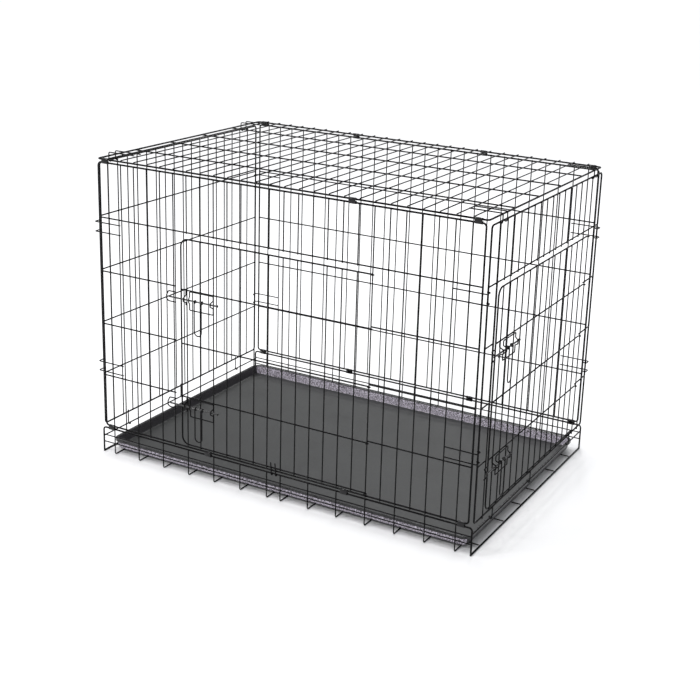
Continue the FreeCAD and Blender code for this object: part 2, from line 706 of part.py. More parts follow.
def eye(panel, run, rise):
    """Closed ring that turns on the door's hinge bar."""
    ring = doc.addObject("Part::Torus", "eye")
    bind_place(ring, panel.place(run, rise, BAR_OUT))
    bind(ring, "Radius1", EYE_BEND)
    bind(ring, "Radius2", "Sizes.eye_radius")
    return ring


def bow(panel, run, rod_height, inward=0.0):
    """Points of a wire's bulge past the rod, from above it to below it."""
    low_out = number(LATCH_OUT)
    return [
        panel.point(run, rod_height + BOW_FOOT, low_out),
        panel.point(run + inward, rod_height + BOW_HALF, bow_out),
        panel.point(run + inward, rod_height - BOW_HALF, bow_out),
        panel.point(run, rod_height - BOW_FOOT, low_out),
    ]


def latch_frame(panel, edge, rail_level, rod_height):
    """Closed wire loop under a door rail. Both its sides bulge out past the rod."""
    near = edge + size("latch_start")
    far = near + size("latch_width")
    low = rail_level - size("latch_drop")
    out = number(LATCH_OUT)
    middle = (near + far) / 2
    corners = [panel.point(middle, rail_level, out), panel.point(near, rail_level, out)]
    corners += bow(panel, near, rod_height, NOTCH)
    corners += [panel.point(near, low, out), panel.point(far, low, out)]
    corners += reversed(bow(panel, far, rod_height, -NOTCH))
    corners += [panel.point(far, rail_level, out), panel.point(middle, rail_level, out)]
    return bent_wire(corners, LATCH_BEND, bar_radius)


def rod_staple(panel, place, rod_height):
    """Guide beside a door bar that the rod runs through."""
    out = number(BAR_OUT)
    rises = (STAPLE_ABOVE, BOW_FOOT, -BOW_FOOT, -STAPLE_BELOW)
    ends = [panel.point(place, rod_height + rise, out) for rise in rises]
    points = ends[:2] + bow(panel, place, rod_height)[1:3] + ends[2:]
    return bent_wire(points, LATCH_BEND, bar_radius)


def keeper(panel, post, rod_height):
    """Loop on the door post. The bolt's tip slides in behind its far end."""
    out = number(LATCH_OUT)
    near, far = post + KEEPER_NEAR, post - KEEPER_FAR
    points = [panel.point(near, rod_height + KEEPER_HALF, out)]
    points.append(panel.point(far, rod_height + KEEPER_HALF, out))
    points += bow(panel, far, rod_height)[1:3]
    points.append(panel.point(far, rod_height - KEEPER_HALF, out))
    points.append(panel.point(near, rod_height - KEEPER_HALF, out))
    return bent_wire(points, LATCH_BEND, bar_radius)


def bolt_rod(node, panel, edge, rod_height, side):
    """Round rod with a rounded tip, two swaged collars inside the handle's eyes and
    a stop at its inner end."""
    tip = edge - size("rod_overhang")
    radius = size("rod_radius")
    out = size("rod_stand_off")
    along = AXES[panel.run]
    start = panel.point(tip + radius, rod_height, out)
    shaft = Part.makeCylinder(radius, size("rod_length") - radius, start, along)
    shaft = shaft.fuse(Part.makeSphere(radius, start))
    middle = edge + size("handle_middle")
    inner = size("handle_width") / 2 - eye_radius - ROD_GAP
    for place in (middle - inner, middle + inner - COLLAR_LENGTH):
        start = panel.point(place, rod_height, out)
        shaft = shaft.fuse(Part.makeCylinder(COLLAR_RADIUS, COLLAR_LENGTH, start, along))
    start = panel.point(tip + size("rod_length") - STOP_LENGTH, rod_height, out)
    shaft = shaft.fuse(Part.makeCylinder(STOP_RADIUS, STOP_LENGTH, start, along))
    keep_shape(f"{side}_{node}_bolt", shaft.removeSplitter())


def bolt_handle(node, panel, edge, rod_height, side):
    """Long loop of wire whose legs end in eyes round the rod."""
    half = size("handle_width") / 2
    middle = edge + size("handle_middle")
    out = size("rod_stand_off")
    curl = size("rod_radius") + size("play") + eye_radius
    leg = out + curl
    bottom = rod_height - size("handle_length")
    legs = []
    for way in (-1, 1):
        top = panel.point(middle + way * half, rod_height, leg)
        foot_point = panel.point(middle + way * half, bottom + half, leg)
        legs.append((top, foot_point))
    arc = Part.Arc(legs[0][1], panel.point(middle, bottom, leg), legs[1][1]).toShape()
    path = Part.Wire([
        Part.LineSegment(legs[0][0], legs[0][1]).toShape(),
        arc,
        Part.LineSegment(legs[1][1], legs[1][0]).toShape(),
    ])
    section = Part.Wire(Part.Circle(legs[0][0], Vector(0, 0, 1), bar_radius).toShape())
    loop = path.makePipeShell([section], True, False)
    for way in (-1, 1):
        centre = panel.point(middle + way * half, rod_height, out)
        loop = loop.fuse(Part.makeTorus(curl, eye_radius, centre, AXES[panel.run]))
    keep_shape(f"{side}_{node}_handle", loop)


for side, (panel, edge, post, jamb_place, places) in DOORS.items():
    rails = {index: f"({rail_height(index)} - Sizes.door_rail_drop)" for index in (1, 2, 3)}
    rail_stop = f"{post} - Sizes.eye_stand_off"
    pieces = frame_pieces(
        panel, edge, rail_stop, "Sizes.door_bottom", "Sizes.door_top",
        "Sizes.door_bend", "Sizes.door_radius", DOOR_OUT, open_end=True)
    keep_joined(f"{side}_door_frame", pieces)
    edge_inside = f"{edge} + Sizes.door_radius - Sizes.weld_bite"
    keep(f"{side}_door_rails", [rail(panel, rails[index], edge_inside, rail_stop) for index in (1, 2, 3)])
    door_low = "Sizes.door_bottom - Sizes.door_bar_overrun"
    door_high = "Sizes.door_top + Sizes.door_bar_overrun"
    keep(f"{side}_door_bars", [
        bar(panel, place, door_low, door_high) for place in places])
    levels = ["Sizes.door_bottom", "Sizes.door_top"] + list(rails.values())
    keep(f"{side}_door_eyes", [eye(panel, post, level) for level in levels])
    edge_at, post_at = number(edge), number(jamb_place)
    frames, staples, keepers = [], [], []
    for height, index in (("lower", 1), ("upper", 3)):
        rail_level = number(rails[index])
        rod_height = rail_level - size("rod_drop")
        frames.append(latch_frame(panel, edge_at, rail_level, rod_height))
        beside = number(places[0]) - 2 * bar_radius + STAPLE_BITE
        staples.append(rod_staple(panel, beside, rod_height))
        keepers.append(keeper(panel, post_at, rod_height))
        bolt_rod(height, panel, edge_at, rod_height, side)
        bolt_handle(height, panel, edge_at, rod_height, side)
    keep_shape(f"{side}_door_latch_frames", Part.makeCompound(frames))
    keep_shape(f"{side}_door_bolt_guides", Part.makeCompound(staples))
    panel_name = "front" if side == "front" else "right_end"
    keep_shape(f"{panel_name}_bolt_keepers", Part.makeCompound(keepers))


# ---- check and write ---------------------------------------------------------------

doc.recompute()
for obj in doc.Objects:
    if "Invalid" in obj.State or "Error" in obj.State:
        raise ValueError(f"{obj.Label} failed: {obj.State}")
os.makedirs("parts", exist_ok=True)
for node, obj in parts.items():
    if obj.Shape.isNull() or not obj.Shape.isValid():
        raise ValueError(f"{node} has no valid shape")
    obj.Shape.exportStep(f"parts/{node}.step")
print(len(parts), "sub-parts written")
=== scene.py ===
import math

import bmesh
import bpy
from mathutils import Matrix, Quaternion, Vector


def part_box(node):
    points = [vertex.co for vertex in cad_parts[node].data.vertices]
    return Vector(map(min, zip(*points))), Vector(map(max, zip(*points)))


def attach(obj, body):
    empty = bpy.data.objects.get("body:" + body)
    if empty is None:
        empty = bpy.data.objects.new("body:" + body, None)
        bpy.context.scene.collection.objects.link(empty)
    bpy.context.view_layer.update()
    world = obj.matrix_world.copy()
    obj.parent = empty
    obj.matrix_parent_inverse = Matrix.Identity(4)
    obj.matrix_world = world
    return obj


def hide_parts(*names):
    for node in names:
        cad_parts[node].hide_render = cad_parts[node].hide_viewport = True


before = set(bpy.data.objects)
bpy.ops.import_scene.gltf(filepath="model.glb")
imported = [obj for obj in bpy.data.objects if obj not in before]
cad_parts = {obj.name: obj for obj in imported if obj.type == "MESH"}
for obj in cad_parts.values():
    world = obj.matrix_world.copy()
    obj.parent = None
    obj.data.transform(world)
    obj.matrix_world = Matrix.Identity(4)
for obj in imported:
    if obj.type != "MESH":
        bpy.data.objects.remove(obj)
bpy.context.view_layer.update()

# Folding wire dog crate. Sizes are in millimetres until they become a Vector.
MM = 0.001
BAR, RAIL, EDGE, DOOR_EDGE, EYE = 1.5, 1.8, 2.25, 2.0, 1.25
BAR_OUT, RAIL_OUT, DOOR_OUT, LATCH_OUT, ROD_OUT, BOW_OUT = 3.65, 0.45, 0.25, 6.55, 10.4, 14.3
WIRE_SIDES, ARC_STEP = 16, 12
BITE, WRAP_GAP = 0.1, 0.35
ROD = 2.0
TOUCHING = 0.01 * MM


def middle(node, axis):
    """Middle of a CAD node along one axis."""
    low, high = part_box(node)
    return (low[axis] + high[axis]) / 2


FRONT_Y, BACK_Y = middle("front_frame", 1), middle("back_frame", 1)
LEFT_X, RIGHT_X = middle("left_end_frame", 0), middle("right_end_frame", 0)
TOP_Z = middle("top_frame", 2)
LENGTH = (RIGHT_X - LEFT_X) / MM
BAR_GAPS, END_GAPS, END_HALF = 27, 18, 347
RAIL_HEIGHTS = [77, 217, 357, 497, 637]
TOP_RAIL, END_TOP_RAIL = 777, 773
TOP_HEIGHT, TOP_HALF_WIDTH = 785, 354
LEFT_HINGE, RIGHT_HINGE = 44, 53


def front(run, rise, out=0.0):
    return Vector((run * MM, FRONT_Y - out * MM, rise * MM))


def back(run, rise, out=0.0):
    return Vector((run * MM, BACK_Y + out * MM, rise * MM))


def left(run, rise, out=0.0):
    return Vector((LEFT_X - out * MM, run * MM, rise * MM))


def right(run, rise, out=0.0):
    return Vector((RIGHT_X + out * MM, run * MM, rise * MM))


def top(run, rise, out=0.0):
    return Vector((run * MM, rise * MM, TOP_Z + out * MM))


def bar_at(index):
    """Place of a bar along the crate, counted from the left."""
    return index * LENGTH / BAR_GAPS - LENGTH / 2


def end_bar_at(index):
    """Place of a bar across an end, counted from the front."""
    return (2 * index / END_GAPS - 1) * END_HALF


# ---- wire working ----------------------------------------------------------------

def clear_selection():
    bpy.ops.object.select_all(action="DESELECT")


def edit_all():
    bpy.ops.object.mode_set(mode="EDIT")
    bpy.ops.mesh.select_all(action="SELECT")


def done_editing():
    bpy.ops.object.mode_set(mode="OBJECT")


def straight_wire(start, end, radius):
    """A straight length of wire."""
    clear_selection()
    run = end - start
    bpy.ops.mesh.primitive_cylinder_add(
        vertices=WIRE_SIDES, radius=radius * MM, depth=run.length,
        location=(start + end) / 2, rotation=run.to_track_quat("Z", "Y").to_euler())
    bpy.ops.object.transform_apply(location=True, rotation=True, scale=True)
    return bpy.context.object


def copy_along(piece, steps):
    """Copies of a piece in its own mesh, each one moved a step on from the last."""
    edit_all()
    for step in steps:
        bpy.ops.mesh.duplicate()
        bpy.ops.transform.translate(value=step)
    done_editing()


def at_spots(piece, spots):
    """A piece made at the first spot, and copied to the others."""
    copy_along(piece, [there - here for here, there in zip(spots, spots[1:])])
    return piece


def bars(side, places, low, high, out=BAR_OUT, radius=BAR):
    """Equal wires side by side on a panel."""
    spots = [side(place, low, out) for place in places]
    return at_spots(straight_wire(spots[0], side(places[0], high, out), radius), spots)


def rails(side, heights, start, end, out=RAIL_OUT, radius=RAIL):
    """Equal wires one above the other on a panel."""
    spots = [side(start, height, out) for height in heights]
    return at_spots(straight_wire(spots[0], side(end, heights[0], out), radius), spots)


def wire_line(points):
    """A line of edges through the points."""
    clear_selection()
    bpy.ops.mesh.primitive_plane_add(size=MM, location=points[0])
    bpy.ops.object.transform_apply(location=True, rotation=True, scale=True)
    edit_all()
    bpy.ops.mesh.select_mode(type="VERT")
    bpy.ops.mesh.merge(type="CENTER")
    for here, there in zip(points, points[1:]):
        bpy.ops.mesh.extrude_vertices_move(TRANSFORM_OT_translate={"value": there - here})
    return bpy.context.object


def round_corner(line, before, corner, after, bend):
    """Rounds the corner of a line of edges, in edit mode."""
    turn = (corner - before).angle(after - corner)
    mesh = bmesh.from_edit_mesh(line.data)
    for vertex in mesh.verts:
        vertex.select = (vertex.co - corner).length < TOUCHING
    mesh.select_flush_mode()
    bmesh.update_edit_mesh(line.data)
    steps = max(2, math.ceil(math.degrees(turn) / ARC_STEP))
    bpy.ops.mesh.bevel(
        offset=bend * MM * math.tan(turn / 2), segments=steps, profile=0.5, affect="VERTICES")


def curl_points(last, before, centre, degrees):
    """Points of an arc about a centre, that carries on from a straight run."""
    spoke = last - centre
    axis = spoke.cross(last - before).normalized()
    steps = math.ceil(degrees / ARC_STEP)
    turns = [math.radians(degrees) * step / steps for step in range(1, steps + 1)]
    return [centre + Quaternion(axis, turn) @ spoke for turn in turns]


def bent_wire(points, bend, radius, curl=None, closed=False):
    """One length of wire led through the points, its corners rounded by the same
    bend. curl is the centre and degrees of an arc that the wire ends in."""
    arc = curl_points(points[-1], points[-2], *curl) if curl else []
    loop = points + points[:1] if closed else points
    line = wire_line(loop + arc)
    if closed:
        bpy.ops.mesh.select_all(action="SELECT")
        bpy.ops.mesh.remove_doubles(threshold=TOUCHING)
    corners = list(zip(loop, loop[1:], loop[2:]))
    if bend:
        for before, corner, after in corners:
            round_corner(line, before, corner, after, bend)
    done_editing()
    bpy.ops.object.convert(target="CURVE")
    line.data.bevel_depth = radius * MM
    line.data.bevel_resolution = (WIRE_SIDES - 4) // 2
    line.data.use_fill_caps = not closed
    bpy.ops.object.convert(target="MESH")
    return bpy.context.object


def rectangle(side, start, end, low, high, bend, radius, out=0.0):
    """A closed wire frame. It starts half-way along its lower side."""
    centre = (start + end) / 2
    corners = [(centre, low), (end, low), (end, high), (start, high), (start, low)]
    return bent_wire([side(run, rise, out) for run, rise in corners], bend, radius, closed=True)


def ring(centre, spoke, axis, radius, degrees):
    """An open ring of wire about a centre."""
    start = centre + spoke
    before = start - axis.cross(spoke)
    arc = curl_points(start, before, centre, degrees)
    return bent_wire([start] + arc, 0, radius)


def press(piece, kind, name, **settings):
    """Adds a modifier and applies it."""
    modifier = piece.modifiers.new(name, kind)
    for setting, value in settings.items():
        setattr(modifier, setting, value)
    bpy.context.view_layer.objects.active = piece
    bpy.ops.object.modifier_apply(modifier=name)


def join(pieces):
    clear_selection()
    for piece in pieces:
        piece.select_set(True)
    bpy.context.view_layer.objects.active = pieces[0]
    if len(pieces) > 1:
        bpy.ops.object.join()
    return pieces[0]


def shade(piece, degrees):
    clear_selection()
    piece.select_set(True)
    bpy.context.view_layer.objects.active = piece
    bpy.ops.object.shade_smooth_by_angle(angle=math.radians(degrees))


def fit(piece, name, body, material, nodes):
    """Names a piece, gives it its finish, and hangs it on its body in place of nodes."""
    piece.name = piece.data.name = name
    piece.data.materials.clear()
    piece.data.materials.append(material)
    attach(piece, body)
    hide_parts(*nodes)


def coat_wires(name, body, nodes, pieces, material, ease=0.35):
    """Joins wires into one piece with eased ends."""
    piece = join(pieces)
    press(piece, "BEVEL", "eased_ends", width=ease * MM, segments=2,
          limit_method="ANGLE", angle_limit=math.radians(60))
    shade(piece, 50)
    fit(piece, name, body, material, nodes)


# ---- finishes -------------------------------------------------------------------

def new_finish(name):
    material = bpy.data.materials.new(name)
    material.use_nodes = True
    nodes, links = material.node_tree.nodes, material.node_tree.links
    shader = nodes["Principled BSDF"]
    place = nodes.new("ShaderNodeTexCoord")
    return material, nodes, links, shader, place


def noise(nodes, links, place, scale, detail=3.0, roughness=0.5):
    texture = nodes.new("ShaderNodeTexNoise")
    texture.inputs["Scale"].default_value = scale
    texture.inputs["Detail"].default_value = detail
    texture.inputs["Roughness"].default_value = roughness
    links.new(place.outputs["Object"], texture.inputs["Vector"])
    return texture.outputs["Fac"]


def spread(nodes, links, value, low_in, high_in, low_out, high_out):
    """Maps a pattern's values to a range."""
    ranger = nodes.new("ShaderNodeMapRange")
    ranger.inputs["From Min"].default_value = low_in
    ranger.inputs["From Max"].default_value = high_in
    ranger.inputs["To Min"].default_value = low_out
    ranger.inputs["To Max"].default_value = high_out
    links.new(value, ranger.inputs["Value"])
    return ranger.outputs["Result"]


def tones(nodes, links, value, stops):
    """Colours along a pattern's values."""
    ramp = nodes.new("ShaderNodeValToRGB")
    elements = ramp.color_ramp.elements
    while len(elements) < len(stops):
        elements.new(0.5)
    for element, (position, colour) in zip(elements, stops):
        element.position = position
        element.color = (*colour, 1.0)
    links.new(value, ramp.inputs["Fac"])
    return ramp.outputs["Color"]


def raise_surface(nodes, links, shader, height, strength, distance, under=None):
    bump = nodes.new("ShaderNodeBump")
    bump.inputs["Strength"].default_value = strength
    bump.inputs["Distance"].default_value = distance
    links.new(height, bump.inputs["Height"])
    if under:
        links.new(under, bump.inputs["Normal"])
    links.new(bump.outputs["Normal"], shader.inputs["Normal"])
    return bump.outputs["Normal"]


def black_coat(name, low, high, sheen_low, sheen_high, coat):
    """Baked black coat on steel wire: slightly rippled, with thin and thick areas."""
    material, nodes, links, shader, place = new_finish(name)
    ripple = noise(nodes, links, place, 420, 4.0, 0.55)
    drift = noise(nodes, links, place, 28, 3.0)
    links.new(tones(nodes, links, drift, [(0.3, low), (0.7, high)]), shader.inputs["Base Color"])
    links.new(spread(nodes, links, drift, 0.3, 0.7, sheen_low, sheen_high), shader.inputs["Roughness"])
    under = raise_surface(nodes, links, shader, ripple, 0.35, 0.00012)
    raise_surface(nodes, links, shader, noise(nodes, links, place, 1900, 2.0), 0.12, 0.00004, under)
    shader.inputs["Specular IOR Level"].default_value = 0.08
    shader.inputs["Coat Weight"].default_value = coat
    shader.inputs["Coat Roughness"].default_value = 0.09
    return material


wire_coat = black_coat(
    "black_baked_wire_coat", (0.001, 0.001, 0.0012), (0.003, 0.003, 0.0035), 0.16, 0.30, 0.03)
clip_coat = black_coat(
    "black_painted_clip", (0.003, 0.003, 0.0035), (0.008, 0.008, 0.009), 0.14, 0.26, 0.5)


def worn_bolt_coat():
    """Black coat rubbed grey in fine scratches where a bolt slides in its guides."""
    material, nodes, links, shader, place = new_finish("rubbed_bolt_coat")
    scratches = noise(nodes, links, place, 600, 6.0, 0.7)
    patches = noise(nodes, links, place, 60, 3.0)
    product = nodes.new("ShaderNodeMath")
    product.operation = "MULTIPLY"
    links.new(scratches, product.inputs[0])
    links.new(patches, product.inputs[1])
    worn = spread(nodes, links, product.outputs["Value"], 0.34, 0.42, 0.0, 1.0)
    links.new(tones(nodes, links, worn, [(0.0, (0.010, 0.010, 0.011)), (1.0, (0.11, 0.11, 0.115))]),
              shader.inputs["Base Color"])
    links.new(spread(nodes, links, patches, 0.3, 0.7, 0.22, 0.42), shader.inputs["Roughness"])
    raise_surface(nodes, links, shader, scratches, 0.25, 0.00005)
    shader.inputs["Coat Weight"].default_value = 0.3
    shader.inputs["Coat Roughness"].default_value = 0.12
    return material


bolt_coat = worn_bolt_coat()


def tray_floor_finish():
    """Satin moulded plastic with a fine leather-like grain."""
    material, nodes, links, shader, place = new_finish("tray_floor_plastic")
    grain = nodes.new("ShaderNodeTexVoronoi")
    grain.inputs["Scale"].default_value = 620
    links.new(place.outputs["Object"], grain.inputs["Vector"])
    cloud = noise(nodes, links, place, 9, 5.0, 0.6)
    links.new(tones(nodes, links, cloud, [(0.3, (0.021, 0.022, 0.022)), (0.7, (0.030, 0.032, 0.032))]),
              shader.inputs["Base Color"])
    links.new(spread(nodes, links, cloud, 0.3, 0.7, 0.42, 0.54), shader.inputs["Roughness"])
    under = raise_surface(nodes, links, shader, grain.outputs["Distance"], 0.3, 0.00025)
    raise_surface(nodes, links, shader, noise(nodes, links, place, 240, 4.0), 0.2, 0.0003, under)
    return material


def pebbled_wall_painted_light_finish(name, painted_half_light_tone, painted_highlight_tone):
    """Coarsely pebbled black plastic, with pale flecks painted into its colour as highlights where the raised
    grains would catch the light; the two given tones set how bright these painted highlights are.
    """
    material, nodes, links, shader, place = new_finish(name)
    pebbles = nodes.new("ShaderNodeTexVoronoi")
    pebbles.inputs["Scale"].default_value = 330
    pebbles.inputs["Randomness"].default_value = 1.0
    links.new(place.outputs["Object"], pebbles.inputs["Vector"])
    painted_glint_pattern = noise(nodes, links, place, 400, 3.0, 0.6)
    # Colour ramp: the dark stop is the plastic's own black, and the middle and high stops are painted
    # highlights on the grain.
    links.new(tones(nodes, links, painted_glint_pattern, [
        (0.36, (0.012, 0.011, 0.013)), (0.48, painted_half_light_tone), (0.58, painted_highlight_tone)]),
        shader.inputs["Base Color"])
    links.new(spread(nodes, links, painted_glint_pattern, 0.35, 0.65, 0.5, 0.22), shader.inputs["Roughness"])
    raise_surface(nodes, links, shader, pebbles.outputs["Distance"], 0.7, 0.0009)
    return material


def tray_rim_finish():
    """Polished rim of the same plastic, with faint moulding ripples."""
    material, nodes, links, shader, place = new_finish("tray_rim_plastic")
    ripple = noise(nodes, links, place, 70, 3.0)
    links.new(tones(nodes, links, ripple, [(0.3, (0.012, 0.012, 0.013)), (0.7, (0.022, 0.022, 0.024))]),
              shader.inputs["Base Color"])
    links.new(spread(nodes, links, ripple, 0.3, 0.7, 0.2, 0.34), shader.inputs["Roughness"])
    raise_surface(nodes, links, shader, noise(nodes, links, place, 160, 3.0), 0.15, 0.0004)
    return material


tray_floor, tray_rim = tray_floor_finish(), tray_rim_finish()
# The long walls face the light, so their pale lavender flecks are painted highlights, not a colour of the
# plastic.
long_wall_painted_highlights = pebbled_wall_painted_light_finish("tray_long_wall_plastic_painted_highlights", (0.32, 0.29, 0.345), (0.88, 0.82, 0.94))
# The end walls get a dark copy of the same finish: painted shade for walls that face away from the light.
end_wall_painted_shade = pebbled_wall_painted_light_finish(
    "tray_end_wall_plastic_painted_shade", (0.016, 0.015, 0.018), (0.04, 0.037, 0.044))


# ---- base -----------------------------------------------------------------------

RIM_HEIGHT, HALF, CORNER = 69, LENGTH / 2, 8
CROSS_TOP, CROSS_BEND = 71, 5
LOW_SIDE_WIRES, LOW_SIDE_OUT = [29, 48], 0.75
FLOOR_WIRES, FLOOR_WIRE_HEIGHT = (-304, -163, -58, 35, 170, 280), 4.4
CROSS_WIRES = [1, 3, 5, 7, 9, 11, 13, 14, 16, 18, 20, 22, 24, 26]
for side, name in ((front, "front"), (back, "back")):
    rim_points = [side(-HALF, 0), side(-HALF, RIM_HEIGHT), side(HALF, RIM_HEIGHT), side(HALF, 0)]
    coat_wires(f"{name}_rim_wire", "base", [f"base_{name}_rim"],
               [bent_wire(rim_points, CORNER, EDGE)], wire_coat)

cross_spots = [front(bar_at(index), CROSS_TOP, BAR_OUT) for index in CROSS_WIRES]
first_place = bar_at(CROSS_WIRES[0])
cross_wire = bent_wire([
    front(first_place, CROSS_TOP, BAR_OUT), front(first_place, BAR, BAR_OUT),
    back(first_place, BAR, BAR_OUT), back(first_place, CROSS_TOP, BAR_OUT)], CROSS_BEND, BAR)
coat_wires("cross_wires_with_feet", "base", ["base_runners", "base_front_feet", "base_back_feet"],
           [at_spots(cross_wire, cross_spots)], wire_coat)

inside_y = TOP_HALF_WIDTH - EDGE + BITE
coat_wires("end_floor_wires", "base", ["base_end_runners"], [
    straight_wire(side(-inside_y, EDGE), side(inside_y, EDGE), EDGE) for side in (left, right)], wire_coat)
coat_wires("end_hinge_wires", "base", ["base_hinge_wires"], [
    straight_wire(side(-inside_y, height), side(inside_y, height), RAIL)
    for side, height in ((left, LEFT_HINGE), (right, RIGHT_HINGE))], wire_coat)
inside_x = HALF - EDGE + BITE
coat_wires("low_side_wires", "base", ["base_side_wires"], [
    rails(side, LOW_SIDE_WIRES, -inside_x, inside_x, LOW_SIDE_OUT, BAR) for side in (front, back)], wire_coat)
floor_spots = [Vector((-inside_x * MM, across * MM, FLOOR_WIRE_HEIGHT * MM)) for across in FLOOR_WIRES]
floor_wire = straight_wire(floor_spots[0], floor_spots[0] + Vector((2 * inside_x * MM, 0, 0)), BAR)
coat_wires("floor_grid_wires", "base", ["base_floor_wires"], [at_spots(floor_wire, floor_spots)], wire_coat)


# ---- panels ---------------------------------------------------------------------

SLEEVE_HALF, TOP_HALF = 523, 528
OVER = 2
rail_end = SLEEVE_HALF - EDGE + BITE
DOORWAY = range(7, 20)
jamb, hinge_post = bar_at(6), bar_at(20)
upper_rail = RAIL_HEIGHTS[4]
for side, name in ((front, "front"), (back, "back")):
    coat_wires(f"{name}_edge_wire", name, [f"{name}_frame"], [
        rectangle(side, -SLEEVE_HALF, SLEEVE_HALF, RAIL_HEIGHTS[0], TOP_RAIL, CORNER, EDGE)], wire_coat)

low, high = RAIL_HEIGHTS[0] - OVER, TOP_RAIL + OVER
coat_wires("front_upright_wires", "front", ["front_bars"], [
    bars(front, [bar_at(index) for index in range(1, 27) if index not in DOORWAY], low, high),
    bars(front, [bar_at(index) for index in DOORWAY], upper_rail - OVER, high)], wire_coat)
coat_wires("front_level_wires", "front", ["front_rails"], [
    rails(front, [upper_rail], -rail_end, rail_end),
    rails(front, RAIL_HEIGHTS[1:4], -rail_end, jamb + BAR),
    rails(front, RAIL_HEIGHTS[1:4], hinge_post - BAR, rail_end)], wire_coat)
coat_wires("back_upright_wires", "back", ["back_bars"], [
    bars(back, [bar_at(index) for index in range(1, 27)], low, high)], wire_coat)
coat_wires("back_level_wires", "back", ["back_rails"], [
    rails(back, RAIL_HEIGHTS[1:], -rail_end, rail_end)], wire_coat)

coat_wires("top_edge_wire", "top", ["top_frame"], [
    rectangle(top, -TOP_HALF, TOP_HALF, -TOP_HALF_WIDTH, TOP_HALF_WIDTH, CORNER, EDGE)], wire_coat)
coat_wires("top_cross_wires", "top", ["top_bars"], [
    bars(top, [bar_at(index) for index in range(1, 27)],
         -TOP_HALF_WIDTH - OVER, TOP_HALF_WIDTH + OVER)], wire_coat)
top_rail_end = TOP_HALF - EDGE + BITE
coat_wires("top_long_wires", "top", ["top_rails"], [
    rails(top, [(index / 5 - 0.5) * 2 * TOP_HALF_WIDTH for index in range(1, 5)],
          -top_rail_end, top_rail_end)], wire_coat)

end_rail_end = END_HALF - EDGE + BITE
RIGHT_DOORWAY = range(2, 16)
right_jamb, right_post = end_bar_at(1), end_bar_at(16)
end_low, end_high = RAIL_HEIGHTS[0] - OVER, END_TOP_RAIL + OVER
for side, name in ((left, "left_end"), (right, "right_end")):
    coat_wires(f"{name}_edge_wire", name, [f"{name}_frame"], [
        rectangle(side, -END_HALF, END_HALF, RAIL_HEIGHTS[0], END_TOP_RAIL, CORNER, EDGE)], wire_coat)
coat_wires("left_end_upright_wires", "left_end", ["left_end_bars"], [
    bars(left, [end_bar_at(index) for index in range(1, 18)], end_low, end_high)], wire_coat)
coat_wires("left_end_level_wires", "left_end", ["left_end_rails"], [
    rails(left, RAIL_HEIGHTS[1:], -end_rail_end, end_rail_end)], wire_coat)
coat_wires("right_end_upright_wires", "right_end", ["right_end_bars"], [
    bars(right, [end_bar_at(index) for index in range(1, 18) if index not in RIGHT_DOORWAY],
         end_low, end_high),
    bars(right, [end_bar_at(index) for index in RIGHT_DOORWAY], upper_rail - OVER, end_high)], wire_coat)
coat_wires("right_end_level_wires", "right_end", ["right_end_rails"], [
    rails(right, [upper_rail], -end_rail_end, end_rail_end),
    rails(right, RAIL_HEIGHTS[1:4], -end_rail_end, right_jamb + BAR),
    rails(right, RAIL_HEIGHTS[1:4], right_post - BAR, end_rail_end)], wire_coat)


# ---- hooks ----------------------------------------------------------------------

HOOK_CURL = EDGE + WRAP_GAP + BAR
HOOK_OUTSIDE = LENGTH / 2 + HOOK_CURL
PRONG_LENGTH, PRONG_BEND, PRONG_TURN = 80, 4, 150
HALF_PAIR, TAIL_TOP, TAIL_TURN = 12.5, 80, 215
CLOSING_HALF_PAIR, CLOSING_BEND, CLOSING_TURN = 6.25, 20, 120


def prong(side, end, along, depth):
    """Springy prong that lies along a panel and turns in round a wire of an end."""
    points = [side(end * (HOOK_OUTSIDE - PRONG_LENGTH), along, LATCH_OUT),
              side(end * HOOK_OUTSIDE, along, LATCH_OUT), side(end * HOOK_OUTSIDE, along, depth)]
    return bent_wire(points, PRONG_BEND, BAR, (side(end * LENGTH / 2, along, depth), PRONG_TURN))


PRONG_HEIGHTS = [229, 254, 600, 625]
for side, name in ((front, "front"), (back, "back")):
    prongs = []
    for end in (-1, 1):
        spots = [side(0, height) for height in PRONG_HEIGHTS]
        prongs.append(at_spots(prong(side, end, PRONG_HEIGHTS[0], END_HALF - TOP_HALF_WIDTH), spots))
    coat_wires(f"{name}_corner_prongs", name, [f"{name}_corner_hooks"], prongs, wire_coat)

prong_places = [end_bar_at(index) + apart for index in (1.5, 16.5) for apart in (-HALF_PAIR, HALF_PAIR)]
top_prongs = []
for end in (-1, 1):
    spots = [top(0, place) for place in prong_places]
    top_prongs.append(at_spots(prong(top, end, prong_places[0], END_TOP_RAIL - TOP_HEIGHT), spots))
coat_wires("top_end_prongs", "top", ["top_end_hooks"], top_prongs, wire_coat)

for side, name, axis_height in ((left, "left_end", LEFT_HINGE), (right, "right_end", RIGHT_HINGE)):
    curl = RAIL + WRAP_GAP + BAR
    places = [end_bar_at(index) for index in (2.5, 8.5, 15.5)]
    tail = bent_wire([side(places[0], TAIL_TOP, curl), side(places[0], axis_height, curl)], 0, BAR,
                     (side(places[0], axis_height), TAIL_TURN))
    coat_wires(f"{name}_hinge_tails", name, [f"{name}_hinge_hooks"],
               [at_spots(tail, [side(place, 0) for place in places])], wire_coat)

closing_places = [bar_at(13.5) - CLOSING_HALF_PAIR, bar_at(13.5) + CLOSING_HALF_PAIR]
closing = bent_wire([
    front(closing_places[0], 100, HOOK_CURL + 3), front(closing_places[0], 78, 3.7),
    front(closing_places[0], RIM_HEIGHT, HOOK_CURL)], CLOSING_BEND, BAR,
    (front(closing_places[0], RIM_HEIGHT), CLOSING_TURN))
coat_wires("front_closing_prongs", "front", ["front_closing_hook"],
           [at_spots(closing, [front(place, 0) for place in closing_places])], wire_coat)


# ---- hinge clips ----------------------------------------------------------------

